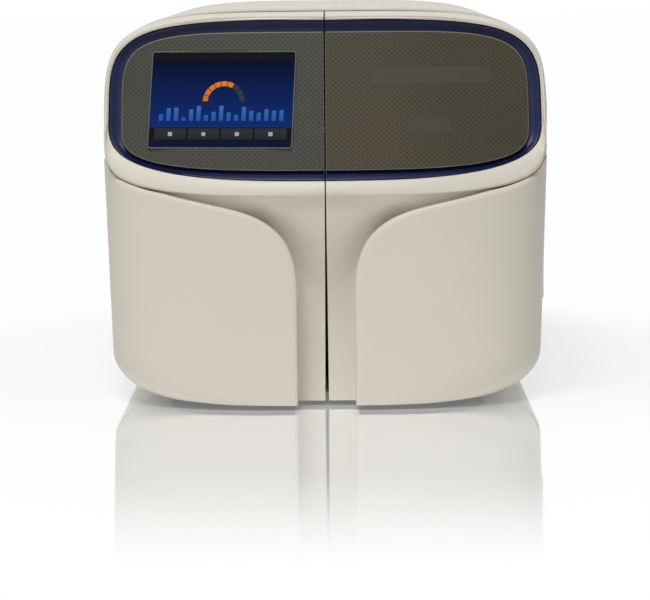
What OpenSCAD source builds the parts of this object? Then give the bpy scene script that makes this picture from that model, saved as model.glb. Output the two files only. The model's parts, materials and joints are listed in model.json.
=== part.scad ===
// Benchtop sequencer: a rounded cabinet whose front is split in two halves.
// The left half is fixed and carries the touch screen. The right half is a door over the reagent bay.
// +X is right, -Y is the front, +Z is up. The origin is the centre of the footprint, on the bench.
// "Depth" below always means the distance behind the foremost point of the front.

/* [Cabinet] */
// Overall width
body_w = 541; // [530:1:550]
// Overall depth
body_d = 762; // [740:1:790]
// Overall height, feet included
body_h = 467; // [464:1:472]
// Thickness of the moulded skins
skin_t = 4; // [3:0.5:4.5]
// Height of the rubber feet
foot_h = 10; // [9:0.5:10]

/* [Front] */
// Depth of the two front halves
front_d = 149; // [147:1:150]
// Half width of the front halves
front_w = 266.5; // [265:0.5:267]
// Gap between the two front halves
seam = 3.4; // [3:0.1:4]
// How far the visor leans back for each millimetre of height
lean = 0.38; // [0.3:0.02:0.4]
// Radius of the visor's bow, seen from above
bow_r = 900; // [850:10:1000]

/* [Wings] */
// Distance from the centre to each wing's upright edge
wing_x = 34; // [33:0.5:36]
// Height where the upright edge starts to curve outwards
wing_z = 130; // [120:1:140]
// Depth of the scooped panel behind the wing's edge
scoop_d = 38; // [34:1:42]

/* [Screen] */
// Visible width of the touch screen
screen_w = 169; // [160:1:172]
// Visible height of the touch screen, along the leaning face
screen_h = 116; // [108:1:118]

/* [Reagent bay] */
// Depth of the bay behind its opening
bay_d = 150; // [140:1:170]
// Height of the shelf above the bench
shelf_z = 214; // [206:1:218]

/* [Hidden] */
$fn = 64;
front_y = -body_d / 2;
seam_x = seam / 2;
lean_a = atan(lean);

// Lens outlines: half width, centre height, rise, upper power, drop, lower power
crest = [262.5, 338, 121.5, 4.2, 86, 4.6];
ring = [257, 337, 118, 4, 68.2, 3.1];
plate = [241.5, 335, 106, 4.5, 54.7, 3.8];
back_lens = [front_w, 338, 125, 4.4, 86, 4.6];
cover_lens = [body_w / 2, 300, body_h - 300, 4.6, 0, 1];

wing_top = 290;
crest_z = crest[1] - crest[4];
plan_n = 3.8;
corner_x = 180;
corner_z = 60;
corner_rx = 75.5;
corner_rz = 50.5;
side_flare = 0.0298;
cover_step = cover_lens[0] - 262.65;

channel_d = 152;
bulk_t = 10;
cover_d = 164;
back_d = body_d - 7;
liner_d = 118;
liner_t = 3;

hinge_x = 261.5;
hinge_d = 156;
hinge_y = front_y + hinge_d;
knuckle_r = 4.6;
pin_r = 2.5;
run_gap = 0.05;
hinge_zs = [112, 326];
knuckle_h = 16;

bay_x0 = 14;
bay_x1 = 236;
bay_z0 = 30;
bay_z1 = 392;
bay_t = 3;
bay_y0 = front_y + channel_d + bulk_t;
bay_y1 = bay_y0 + bay_d;
shelf_t = 4;
deck_z = shelf_z + shelf_t;

clamp_x = 184;
clamp_w = 70;
clamp_y0 = bay_y0 + 24;
clamp_len = 92;
clamp_h = 26;
chip_w = 38;
chip_t = 4;
clamp_pin_y = clamp_y0 + clamp_len - 10;
clamp_pin_z = deck_z + clamp_h + 7;

fan_zs = 150;
fan_xs = [-70, 70];
fan_r = 54;
fan_frame = 120;
fan_t = 25;
back_y = front_y + back_d;

inlet_x = -186;
inlet_z = 84;
ports_x = 188;
ports_z = 110;

// ---- outlines -------------------------------------------------------------

// A point on a lens outline; t runs from 0 at the top centre to 180 at the bottom centre
function lens_pt(l, t) = t <= 90
    ? [l[0] * pow(sin(t), 2 / l[3]), l[1] + l[2] * pow(cos(t), 2 / l[3])]
    : [l[0] * pow(max(0, sin(t)), 2 / l[5]), l[1] - l[4] * pow(-cos(t), 2 / l[5])];

// Height of the lower edge of a lens above half width x
function lens_low(l, x) = l[1] - l[4] * pow(max(0, 1 - pow(min(1, x / l[0]), l[5])), 1 / l[5]);

// Half width of the lower front at height z: nearly straight sides over round bottom corners
function half_w(z) = z >= corner_z
    ? corner_x + corner_rx + (z - corner_z) * side_flare
    : corner_x + corner_rx * sqrt(max(0, 1 - pow((corner_z - z) / corner_rz, 2)));

// Lower edge of the front at half width x: a shallow arc
function bottom_z(x) = 4 + x * x / 5600;

// A point of the cover's outline; t runs from 0 at the top centre to 180 where the base begins
function cover_pt(t) = t <= 90 ? lens_pt(cover_lens, t)
    : t <= 130 ? let(z = 300 - (t - 90) * 6) [half_w(z) + cover_step, z]
    : let(a = (t - 130) * 1.72)
      [corner_x + (corner_rx + cover_step) * cos(a), corner_z - corner_rz * sin(a)];

// Depth of the leaning, bowed visor face at x, z
function face_d(x, z) = lean * (z - crest_z) + x * x / (2 * bow_r);

// Plan of the lower front: [x, depth] on a superellipse at angle a from straight ahead
function plan_r(a, w) = pow(pow(sin(a) / w, plan_n) + pow(cos(a) / front_d, plan_n), -1 / plan_n);
function plan_pt(a, w) = [plan_r(a, w) * sin(a), front_d - plan_r(a, w) * cos(a)];
function plan_d(x, w) = front_d * (1 - pow(max(0, 1 - pow(min(1, x / w), plan_n)), 1 / plan_n));

// Upper edge of a wing at half width x: a tight shoulder that runs out into a long sweep
sweep_x = 130;
sweep_h = 89.9;
sweep_n = 3;
sweep_k = 0.22;
flick_x = 215;
flick_k = 0.0082;
function sweep_z(x) = wing_z + sweep_k * (x - wing_x)
    + sweep_h * pow(max(0, 1 - pow(max(0, sweep_x - x) / (sweep_x - wing_x), sweep_n)), 1 / sweep_n)
    + flick_k * pow(max(0, x - flick_x), 2);
function wing_top_z(x) = min(wing_top, sweep_z(x), lens_low(crest, x) - 4 - 3.3 * min(1, max(0, x - 240) / 10));

// ---- moulded skins --------------------------------------------------------

function unit(v) = v / max(1e-9, norm(v));
function at(g, i, j) = g[max(0, min(len(g) - 1, i))][max(0, min(len(g[0]) - 1, j))];
function grid_normal(g, i, j) =
    unit(cross(at(g, i + 1, j) - at(g, i - 1, j), at(g, i, j + 1) - at(g, i, j - 1)));

// A closed skin behind a grid of surface points; ts holds each row's thickness, side is 1 or -1
module skin(g, ts, side) {
    rows = len(g);
    cols = len(g[0]);
    outer = [for (i = [0:rows - 1], j = [0:cols - 1]) g[i][j]];
    inner = [for (i = [0:rows - 1], j = [0:cols - 1]) g[i][j] + side * ts[i] * grid_normal(g, i, j)];
    base = rows * cols;
    quads = concat(
        [for (i = [0:rows - 2], j = [0:cols - 2])
            [i * cols + j, i * cols + j + 1, (i + 1) * cols + j + 1, (i + 1) * cols + j]],
        [for (i = [0:rows - 2], j = [0:cols - 2])
            [base + (i + 1) * cols + j, base + (i + 1) * cols + j + 1,
             base + i * cols + j + 1, base + i * cols + j]],
        [for (i = [0:rows - 2]) each [
            [base + i * cols, i * cols, (i + 1) * cols, base + (i + 1) * cols],
            [i * cols + cols - 1, base + i * cols + cols - 1,
             base + (i + 1) * cols + cols - 1, (i + 1) * cols + cols - 1]]],
        [for (j = [0:cols - 2]) each [
            [j, base + j, base + j + 1, j + 1],
            [base + (rows - 1) * cols + j, (rows - 1) * cols + j,
             (rows - 1) * cols + j + 1, base + (rows - 1) * cols + j + 1]]]);
    tris = [for (q = quads) each [[q[0], q[1], q[2]], [q[0], q[2], q[3]]]];
    polyhedron(concat(outer, inner), side < 0 ? tris : [for (f = tris) [f[2], f[1], f[0]]]);
}

// Angles round a lens: finer where the outline turns
lens_ts = [0, 2, 5, 9, 14, 20, 27, 34, 42, 50, 58, 66, 73, 79, 84, 88,
    91, 94, 98, 103, 109, 115, 122, 129, 137, 145, 153, 160, 166, 171, 175, 178, 180];

// Keeps a point on its own side of the seam
function clear_seam(p) = [max(seam_x, p[0]), p[1]];

function rear_blend(t) = t <= 99 ? 0 : t >= 110 ? 1 : (t - 99) / 11;

// Visor rim: from its back edge round the crest to the inner lip
rim_steps = [[0, 9], [0.6, 4.2], [1.8, 1.6], [3.4, 0.6]];
rim_dish = 5;
function rim_row(t) =
    let(c = lens_pt(crest, t), r = lens_pt(ring, t), b = lens_pt(back_lens, t),
        span = max(0.5, norm(c - r)), u = rear_blend(t), f = face_d(c[0], c[1]),
        back = front_d + (f + 22 - front_d) * u,
        bp = b + (c - b) * u)
    concat(
        [[clear_seam(bp), back], [clear_seam(bp + (c - bp) * 0.45), back + (f + 9 - back) * 0.6]],
        [for (s = rim_steps) [clear_seam(c + (r - c) * min(0.75, s[0] / span)), f + s[1]]],
        [for (s = [[0.86, 0], [1, 0.6], [1, 8]])
            let(p = c + (r - c) * s[0]) [clear_seam(p), face_d(p[0], p[1]) + rim_dish * s[0] + s[1]]]);
function place(row) = [for (s = row) [s[0][0], front_y + s[1], s[0][1]]];

function rim_gap(t) = norm(lens_pt(crest, t) - lens_pt(ring, t));
module visor_rim() skin([for (t = lens_ts) place(rim_row(t))], [for (t = lens_ts) min(2.6, 0.42 * rim_gap(t))], 1);

// Dished bezel ring between the rim and the fascia plate
function bezel_row(t) =
    let(r = lens_pt(ring, t), p = lens_pt(plate, t), v = unit(p - r))
    [for (s = [[1.4, 10], [1.4, 6.8], [0.5 + norm(p - r) * 0.5, 10.4], [norm(p - r) - 0.6, 13], [norm(p - r) + 4, 14]])
        let(q = r + v * s[0]) [clear_seam(q), face_d(q[0], q[1]) + s[1]]];
module bezel_ring() skin([for (t = lens_ts) place(bezel_row(t))], [for (t = lens_ts) 2], 1);

// A leaning, bowed slab between two depths behind the visor face
module bowed_slab(d0, d1) {
    r = bow_r / cos(lean_a);
    translate([0, front_y, crest_z]) rotate([-lean_a, 0, 0]) difference() {
        translate([0, r + d0 * cos(lean_a), -30]) cylinder(r = r, h = 290, $fn = 360);
        translate([0, r + d1 * cos(lean_a), -40]) cylinder(r = r, h = 310, $fn = 360);
    }
}

// The right half of a lens as a flat outline, shrunk by inset
module lens_half(l, inset) {
    m = [l[0] - inset, l[1], l[2] - inset, l[3], l[4] - inset, l[5]];
    polygon(concat([[seam_x, m[1] + m[2]]],
        [for (t = [1:3:178]) clear_seam(lens_pt(m, t))], [[seam_x, m[1] - m[4]]]));
}

// Fascia plate with snap tabs that press into the bezel ring's flange
tab_ts = [20, 45, 75, 118, 150, 170];
module fascia_half() {
    intersection() {
        bowed_slab(7, 11);
        translate([0, front_y + 200, 0]) rotate([90, 0, 0]) linear_extrude(220) lens_half(plate, 0);
    }
    for (t = tab_ts) let(p = lens_pt(plate, t), v = unit(lens_pt(ring, t) - p), q = p - v * 2.6)
        bar_y(q[0], front_y + face_d(q[0], q[1]) + 8.5, q[1], 1.5, 6.5);
}

// ---- wings and scooped centre panels --------------------------------------

// Columns of a wing: the shoulder, the sweep, then round the corner to the back edge
shoulder_as = [0, 8, 16, 24, 33, 44, 56, 70, 90];
corner_a0 = atan(150 / front_d);
wing_cols = concat(
    [for (a = shoulder_as) [0, sweep_x - (sweep_x - wing_x) * pow(cos(a), 2 / sweep_n)]],
    [for (i = [0:9]) [1, corner_a0 + (90 - corner_a0) * i / 9]]);
wing_rows = [for (i = [0:14]) pow(i / 14, 1.7)];

function col_xd(c, z) = c[0] == 0 ? [c[1], plan_d(c[1], half_w(z) + 4)] : plan_pt(c[1], half_w(z) + 4);
function col_bottom(c) = let(x = col_xd(c, 0)[0]) bottom_z(x);
function col_top(c) = let(x = col_xd(c, wing_top)[0]) wing_top_z(x);
function wing_col(c) =
    let(z0 = col_bottom(c), z1 = col_top(c))
    [for (v = wing_rows) let(z = z0 + (z1 - z0) * v, p = col_xd(c, z)) [p[0], front_y + p[1], z]];

module wing() skin([for (c = wing_cols) wing_col(c)], [for (c = wing_cols) skin_t], -1);

// Depth of the scoop: it starts at the visor's lower edge and runs back in a soft cove
scoop_lip = 9.4;
function scoop_at(x, z) =
    let(top = lens_low(crest, x), lip = face_d(x, top) + scoop_lip, floor_d = scoop_d + 6 + x * x / (2 * bow_r),
        reach = 24 + 78 * exp(-x * x / 4900), k = min(1, max(0, (top - z) / reach)),
        toe = max(0, 1 - z / 80))
    lip + (floor_d - lip) * k * k * (3 - 2 * k) - 5 * toe * toe;

// The strip runs up beside the wing's edge and out under the visor
strip_end = 198;
strip_ss = concat([for (i = [0:5]) 0.06 * i], [for (i = [0:6]) 0.36 + 0.26 * i / 6],
    [for (i = [1:10]) 0.62 + 0.038 * i]);
function edge_pt(s) = s < 0.36
    ? [wing_x, bottom_z(0) + (wing_z - bottom_z(0)) * s / 0.36]
    : let(a = (s - 0.36) / 0.64 * 90,
          x = s < 0.8 ? sweep_x - (sweep_x - wing_x) * pow(cos((s - 0.36) / 0.44 * 90), 2 / sweep_n)
                      : sweep_x + (strip_end - sweep_x) * (s - 0.8) / 0.2)
      [x, wing_top_z(x)];
function seam_pt(s) = s < 0.62
    ? [seam_x, bottom_z(0) + (crest_z - 0.4 - bottom_z(0)) * s / 0.62]
    : let(x = seam_x + (strip_end - seam_x) * (s - 0.62) / 0.38) [x, lens_low(crest, x) - 0.4];
function strip_row(s) =
    let(e = edge_pt(s), f = seam_pt(s), out = s < 0.36 ? [1, 0] : unit([e[0] - f[0], e[1] - f[1]]),
        w = e + out * 1.8, dw = plan_d(w[0], half_w(w[1]) + 4) + skin_t + 1)
    concat(
        [[w, dw], [w, max(dw + 1, scoop_at(w[0], w[1]) - 4)]],
        [for (u = [0.06, 0.2, 0.4, 0.62, 0.84, 1])
            let(p = w + (f - w) * u, flat = min(1, u / 0.2))
            [p, max(dw + 2, scoop_at(p[0], p[1]) - 2 * (1 - flat))]],
        [[f, max(dw + 2, scoop_at(f[0], f[1])) + 12]]);

module centre_panel() skin([for (s = strip_ss) place(strip_row(s))], [for (s = strip_ss) 2.5], -1);

// ---- small shared shapes --------------------------------------------------

// A centred rectangle with round corners
module rrect(w, h, r) {
    square([w - 2 * r, h], center = true);
    square([w, h - 2 * r], center = true);
    for (sx = [-1, 1], sz = [-1, 1]) translate([sx * (w / 2 - r), sz * (h / 2 - r)]) circle(r);
}

// Stands a flat outline up, facing the front, with its front face at y
module upright(y, t) translate([0, y + t, 0]) rotate([90, 0, 0]) linear_extrude(t) children();

// A cylinder along Y from y
module bar_y(x, y, z, r, h) translate([x, y, z]) rotate([-90, 0, 0]) cylinder(r = r, h = h);

// The cover's outline, moved inwards by inset and cut level at the base pan's top
module cover_outline(inset) {
    half = [for (t = [1:3:178]) cover_pt(t)];
    n = len(half);
    pts = concat(half, [for (i = [n - 1:-1:0]) [-half[i][0], half[i][1]]]);
    polygon([for (i = [0:2 * n - 1])
        let(d = unit(pts[(i + 1) % (2 * n)] - pts[(i + 2 * n - 1) % (2 * n)]),
            q = pts[i] + inset * [d[1], -d[0]] * (pts[1][0] > pts[0][0] ? 1 : -1))
        [q[0], max(foot_h + 2, q[1])]]);
}

// ---- front halves ---------------------------------------------------------

screen_x = -122.5;
screen_z = 365.2;

// Puts a flat outline on the leaning visor face at the screen's place, from depth d0 to d1
module on_face(d0, d1) {
    translate([screen_x, front_y + face_d(screen_x, screen_z), screen_z])
        rotate([0, 0, asin(screen_x / bow_r)]) rotate([-lean_a, 0, 0])
        translate([0, d1, 0]) rotate([90, 0, 0]) linear_extrude(d1 - d0) children();
}

module left_fascia() color("dimgray") difference() {
    mirror([1, 0, 0]) fascia_half();
    on_face(-10, 40) rrect(screen_w + 4, screen_h + 4, 4);
}

module screen_frame() color("silver") difference() {
    on_face(7.2, 15.2) rrect(screen_w + 4, screen_h + 4, 4);
    on_face(0, 30) rrect(screen_w, screen_h, 2);
}

module touch_screen() color("midnightblue") on_face(9.4, 12.2) rrect(screen_w, screen_h, 2);

module display_module() color("gray") on_face(12.22, 24) rrect(screen_w - 4, screen_h - 6, 2);

// Inner frame that stiffens a front half from behind, with a dished panel in its middle,
// lugs that press into the wing and posts that carry the centre panel
liner_lens = [248, 330, 108, 4.4, 0, 1];
frame_mid = [134, 224];
lug_zs = [84, 250];
post_x = 20;
post_zs = [60, 130];
module inner_frame() {
    upright(front_y + liner_d, liner_t) difference() {
        polygon(concat([for (t = [3:3:87]) clear_seam(lens_pt(liner_lens, t))],
            [for (z = [crest[1]:-26:corner_z]) [half_w(z) - 12, z]],
            [for (a = [10:10:80]) [corner_x - 8 + (corner_rx - 4) * cos(a), corner_z + 6 - (corner_rz - 4) * sin(a)]],
            [[seam_x + 2, corner_z - corner_rz + 10]]));
        translate(frame_mid) rrect(190, 300, 24);
    }
    upright(front_y + liner_d - 12, 12 + liner_t) translate(frame_mid) difference() {
        rrect(190.2, 300.2, 24);
        rrect(184, 294, 21);
    }
    upright(front_y + liner_d - 12, 2.4) translate(frame_mid) rrect(184.4, 294.4, 21.2);
    for (z = lug_zs) upright(front_y + liner_d, 6) translate([half_w(z) - 14, z - 8]) square([14.3, 16]);
    for (z = post_zs) let(d = scoop_at(post_x, z) + 2.1) bar_y(post_x, front_y + d, z, 4, liner_d + 1 - d);
    for (z = hinge_zs) upright(front_y + liner_d, 6) translate([236, z + 2]) square([hinge_x - 9 - 236, 3 * knuckle_h - 4]);
}

module left_inner_frame() color("lightgray") mirror([1, 0, 0]) inner_frame();
module door_liner() color("whitesmoke") inner_frame();

module hinge_bore(z, gap) translate([hinge_x, hinge_y, z - 1]) cylinder(r = pin_r + gap, h = 3 * knuckle_h + 2);

// Door leaf: two knuckles outside, joined to a flag that is screwed to the inside of the skin
module door_hinge_leaves() color("darkgray") for (z = hinge_zs) difference() {
    union() {
        for (k = [0, 2]) translate([hinge_x, hinge_y, z + k * knuckle_h + 0.3])
            cylinder(r = knuckle_r, h = knuckle_h - 0.6);
        for (k = [0, 2]) translate([hinge_x - 9, hinge_y - 6.4, z + k * knuckle_h + 0.3])
            cube([9 - pin_r, 6.4, knuckle_h - 0.6]);
        translate([hinge_x - 9, hinge_y - 44, z]) cube([4, 38, 3 * knuckle_h]);
    }
    hinge_bore(z, run_gap);
}

module hinge_brackets() color("darkgray") for (z = hinge_zs) difference() {
    union() {
        translate([hinge_x, hinge_y, z + knuckle_h + 0.3]) cylinder(r = knuckle_r, h = knuckle_h - 0.6);
        translate([hinge_x - 20, hinge_y, z + knuckle_h + 0.3]) cube([20, 3.6, knuckle_h - 0.6]);
        translate([hinge_x - 34, front_y + channel_d - 3, z - 4]) cube([22, 3, 3 * knuckle_h + 8]);
        translate([hinge_x - 20, front_y + channel_d - 3, z + knuckle_h + 0.3]) cube([8, 10.6 - 3, knuckle_h - 0.6]);
    }
    hinge_bore(z, 0);
}

module hinge_pins() color("silver") for (z = hinge_zs)
    translate([hinge_x, hinge_y, z - 1.5]) cylinder(r = pin_r, h = 3 * knuckle_h + 3);

catch_zs = [60, 400];
module door_strike_plates() color("silver") for (z = catch_zs)
    upright(front_y + liner_d + liner_t, 2) translate([24, z]) rrect(28, 12, 3);
module catch_magnets() color("dimgray") for (z = catch_zs)
    upright(front_y + liner_d + liner_t + 2.6, channel_d - liner_d - liner_t - 2.6) translate([24, z]) rrect(24, 10, 3);

// ---- cabinet --------------------------------------------------------------

module front_bulkhead() color("dimgray") upright(front_y + channel_d, bulk_t) difference() {
    cover_outline(9);
    translate([(bay_x0 + bay_x1) / 2, (bay_z0 + bay_z1) / 2]) square([bay_x1 - bay_x0, bay_z1 - bay_z0], center = true);
    translate([-(bay_x0 + bay_x1) / 2, (bay_z0 + bay_z1) / 2]) rrect(190, 320, 16);
    for (z = hinge_zs) translate([hinge_x - 20.5, z - 2]) square([40, 3 * knuckle_h + 4]);
}

// Cover skin with rolled front and back edges
cover_ts = [0, 2, 5, 9, 14, 20, 27, 34, 42, 50, 58, 66, 73, 79, 84, 88,
    91, 98, 106, 114, 122, 130, 136, 142, 148, 154, 160, 167, 174, 180];
cover_ys = [[cover_d, 3.6], [cover_d + 0.8, 1.4], [cover_d + 3, 0], [body_d - 8, 0], [body_d - 2.4, 1.4], [body_d, 4]];
function cover_row(p, sx) = [for (s = cover_ys)
    let(k = 1 - s[1] / cover_lens[0]) [sx * p[0] * k, front_y + s[0], p[1] - s[1] * max(-0.3, (p[1] - 200) / (body_h - 200))]];
module main_cover() color("ivory") {
    rows = concat([for (i = [len(cover_ts) - 1:-1:1]) cover_row(cover_pt(cover_ts[i]), -1)],
        [for (t = cover_ts) cover_row(cover_pt(t), 1)]);
    skin(rows, [for (r = rows) skin_t], -1);
}

pan_z = foot_h;
pan_w = 184;
pan_front = 62;
module base_pan() color("gainsboro") difference() {
    union() {
        translate([-172, front_y + pan_front, pan_z]) cube([344, channel_d - pan_front, 2]);
        translate([-pan_w, front_y + channel_d, pan_z]) cube([2 * pan_w, back_d - 3 - channel_d, 2]);
        translate([-168, front_y + channel_d + bulk_t, pan_z]) cube([336, 2, 14]);
        translate([-168, back_y - 5, pan_z]) cube([336, 2, 10]);
    }
    for (sx = [-1, 1], y = feet_ys) translate([sx * feet_x, y, pan_z - 1]) cylinder(r = 3, h = 4);
}

feet_x = 158;
feet_ys = [front_y + 84, -front_y - 70];
module feet() color("black") for (sx = [-1, 1], y = feet_ys) translate([sx * feet_x, y, 0]) {
    cylinder(r1 = 12, r2 = 14, h = 2, $fn = 48);
    translate([0, 0, 2]) cylinder(r = 14, h = foot_h - 2);
    translate([0, 0, foot_h - 0.01]) cylinder(r = 2.9, h = 4);
}

module rear_panel() color("gainsboro") upright(back_y - 3, 3) difference() {
    cover_outline(5);
    for (x = fan_xs) translate([x, fan_zs]) circle(fan_r);
    for (x = fan_xs, sx = [-1, 1], sz = [-1, 1]) translate([x + sx * 52.5, fan_zs + sz * 52.5]) circle(2.2);
    translate([inlet_x, inlet_z]) square([28, 48], center = true);
    translate([ports_x, ports_z]) rrect(44, 92, 3);
    for (z = [280:16:392], x = [-150:60:150]) translate([x, z]) rrect(44, 6, 2.9);
    for (p = screw_pts) translate(p) circle(1.7);
}

screw_pts = [[-236, 330], [236, 330], [-236, 120], [236, 120], [-120, 436], [120, 436], [0, 24], [-140, 24], [140, 24]];
module cover_screws() color("silver") for (p = screw_pts) {
    bar_y(p[0], back_y - 8, p[1], 1.6, 8);
    bar_y(p[0], back_y, p[1], 3.4, 1.8);
}

// ---- reagent bay ----------------------------------------------------------

bay_cx = (bay_x0 + bay_x1) / 2;
bay_cz = (bay_z0 + bay_z1) / 2;
module bay_liner() color("white") difference() {
    translate([bay_x0, bay_y0 - bulk_t + 1, bay_z0]) cube([bay_x1 - bay_x0, bay_d + bulk_t - 1, bay_z1 - bay_z0]);
    translate([bay_x0 + bay_t, bay_y0 - bulk_t - 1, bay_z0 + bay_t])
        cube([bay_x1 - bay_x0 - 2 * bay_t, bay_d + bulk_t + 1 - bay_t, bay_z1 - bay_z0 - 2 * bay_t]);
}

module bay_shelf() color("white") {
    translate([bay_x0 + bay_t, bay_y0 + 6, shelf_z]) cube([bay_x1 - bay_x0 - 2 * bay_t, bay_d - bay_t - 6, shelf_t]);
    translate([bay_x0 + bay_t, bay_y0 + 6, shelf_z - 10]) cube([bay_x1 - bay_x0 - 2 * bay_t, 3, 10]);
}

module clamp_base() color("dimgray") difference() {
    union() {
        translate([clamp_x, clamp_y0 + clamp_len / 2, deck_z]) linear_extrude(clamp_h) rrect(clamp_w, clamp_len, 6);
        for (sx = [-1, 1]) translate([clamp_x + sx * (clamp_w / 2 - 4) - 4, clamp_pin_y - 7, deck_z + clamp_h - 1]) {
            cube([8, 14, 8]);
            translate([0, 7, 8]) rotate([0, 90, 0]) cylinder(r = 7, h = 8);
        }
    }
    translate([clamp_x, clamp_y0 + 36, deck_z + clamp_h - 9]) linear_extrude(12) square([chip_w + 10, chip_w + 10], center = true);
    translate([clamp_x - clamp_w, clamp_pin_y, clamp_pin_z]) rotate([0, 90, 0]) cylinder(r = pin_r, h = 2 * clamp_w);
}

module chip_socket() color("black") translate([clamp_x, clamp_y0 + 36, deck_z + clamp_h - 9]) difference() {
    linear_extrude(5) rrect(chip_w + 9.4, chip_w + 9.4, 1.5);
    translate([0, 0, 2.5]) linear_extrude(4) square([chip_w + 0.6, chip_w + 0.6], center = true);
}

module flow_chip() color("goldenrod") translate([clamp_x, clamp_y0 + 36, deck_z + clamp_h - 6.5]) {
    linear_extrude(2) rrect(chip_w, chip_w, 2);
    translate([0, 0, 2]) linear_extrude(2) rrect(20, 20, 1.5);
}

clamp_gap = 1.2;
module clamp_lid() color("whitesmoke") difference() {
    union() {
        translate([clamp_x, clamp_y0 + 34, deck_z + clamp_h + clamp_gap]) linear_extrude(11) rrect(clamp_w - 18, 76, 6);
        translate([clamp_x - 25, clamp_pin_y, clamp_pin_z]) rotate([0, 90, 0]) cylinder(r = 5.6, h = 50);
        translate([clamp_x - 25, clamp_pin_y - 20, deck_z + clamp_h + clamp_gap]) cube([50, 20, 11]);
        translate([clamp_x, clamp_y0 - 5, deck_z + clamp_h + clamp_gap + 5]) linear_extrude(6) rrect(30, 14, 5);
    }
    translate([clamp_x - clamp_w, clamp_pin_y, clamp_pin_z]) rotate([0, 90, 0]) cylinder(r = pin_r + run_gap, h = 2 * clamp_w);
}

module clamp_pin() color("silver") translate([clamp_x - clamp_w / 2 - 1, clamp_pin_y, clamp_pin_z])
    rotate([0, 90, 0]) cylinder(r = pin_r, h = clamp_w + 2);

module clamp_pad() color("dimgray") translate([clamp_x, clamp_y0 + 36, deck_z + clamp_h - 1.8])
    linear_extrude(3) rrect(26, 26, 3);

dock_x = 66;
module cartridge_dock() color("lightgray") difference() {
    translate([dock_x, bay_y0 + 76, deck_z]) linear_extrude(16) rrect(92, 128, 5);
    translate([dock_x, bay_y0 + 76, deck_z + 4]) linear_extrude(14) rrect(84, 120, 3);
}
module reagent_cartridge() color("steelblue") {
    translate([dock_x, bay_y0 + 76, deck_z + 4]) linear_extrude(56.2) rrect(83, 119, 3);
    for (i = [-1:1], j = [-1.5:1:1.5]) translate([dock_x + i * 24, bay_y0 + 76 + j * 27, deck_z + 60.2])
        cylinder(r = 9, h = 5, $fn = 32);
}

module bottle(x, y, r, h, neck) translate([x, y, bay_z0 + bay_t]) rotate_extrude($fn = 96)
    polygon([[0, 0], [r - 4, 0], [r, 4], [r, h - 20], [r - 6, h - 8], [neck, h - 2], [neck, h + 14], [0, h + 14]]);
module cap(x, y, h, r) translate([x, y, bay_z0 + bay_t + h + 14]) difference() {
    cylinder(r = r, h = 16);
    for (a = [0:20:340]) rotate([0, 0, a]) translate([r + 0.6, 0, -1]) cylinder(r = 1.6, h = 18, $fn = 16);
}
module wash_bottle() color("white") bottle(66, bay_y0 + 74, 42, 128, 17);
module wash_cap() color("royalblue") cap(66, bay_y0 + 74, 128, 21);
module waste_bottle() color("gainsboro") {
    translate([178, bay_y0 + 76, bay_z0 + bay_t]) linear_extrude(120) rrect(92, 116, 12);
    translate([178, bay_y0 + 76, bay_z0 + bay_t + 119.9]) cylinder(r = 19, h = 14.1);
}
module waste_cap() color("orangered") cap(178, bay_y0 + 76, 120, 23);

// ---- back: fans, power, ports --------------------------------------------

module fan_frame_at(x) upright(back_y - 3 - fan_t, fan_t) translate([x, fan_zs]) difference() {
    rrect(fan_frame, fan_frame, 6);
    circle(fan_r + 2);
    for (sx = [-1, 1], sz = [-1, 1]) translate([sx * 52.5, sz * 52.5]) circle(2.2);
}
module fan_motor_at(x) {
    bar_y(x, back_y - 3 - fan_t, fan_zs, 19, 4);
    bar_y(x, back_y - 3 - fan_t + 3.9, fan_zs, 3, 15);
    for (a = [45:90:315]) translate([x, back_y - 3 - fan_t + 4, fan_zs]) rotate([0, a, 0])
        translate([17, -3.5, -2.5]) cube([fan_r - 13, 3, 5]);
}
module fan_frame_part(x) color("black") {
    fan_frame_at(x);
    fan_motor_at(x);
}
module left_fan_frame() fan_frame_part(fan_xs[0]);
module right_fan_frame() fan_frame_part(fan_xs[1]);

// Hub and seven pitched blades on a blind bore
module fan_rotor_part(x) color("dimgray") translate([x, back_y - 3 - fan_t + 5, fan_zs]) difference() {
    union() {
        rotate([-90, 0, 0]) cylinder(r = 20, h = 16);
        for (k = [0:6]) rotate([0, k * 360 / 7, 0]) translate([18, 8, 0]) rotate([34, 0, 0])
            translate([0, -1, -11]) cube([fan_r - 20, 2, 22]);
    }
    rotate([-90, 0, 0]) translate([0, 0, -1]) cylinder(r = 3 + run_gap, h = 15.5);
}
module left_fan_rotor() fan_rotor_part(fan_xs[0]);
module right_fan_rotor() fan_rotor_part(fan_xs[1]);

// Wire guards: rings on a cross, screwed over each fan
module fan_guards() color("silver") for (x = fan_xs) translate([x, back_y + 1.6, fan_zs]) rotate([-90, 0, 0]) {
    for (r = [14:10:54]) rotate_extrude() translate([r, 0]) circle(1, $fn = 16);
    for (a = [45:90:315]) rotate([0, 0, a]) {
        translate([13, -1.2, 0.4]) cube([72 - 13, 2.4, 1.4]);
        translate([74.25, 0, -1.6]) cylinder(r = 4, h = 3.4);
    }
}

module power_inlet() color("black") difference() {
    union() {
        upright(back_y, 2) translate([inlet_x, inlet_z]) rrect(34, 60, 3);
        upright(back_y - 26, 26) translate([inlet_x, inlet_z]) square([27, 47], center = true);
    }
    upright(back_y - 16, 20) translate([inlet_x, inlet_z - 10]) rrect(24, 17.5, 3);
    upright(back_y - 8, 20) translate([inlet_x, rocker_z]) square([13.4, 18.6], center = true);
    trunnion_bar(rocker_r + run_gap, 17);
}

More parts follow.
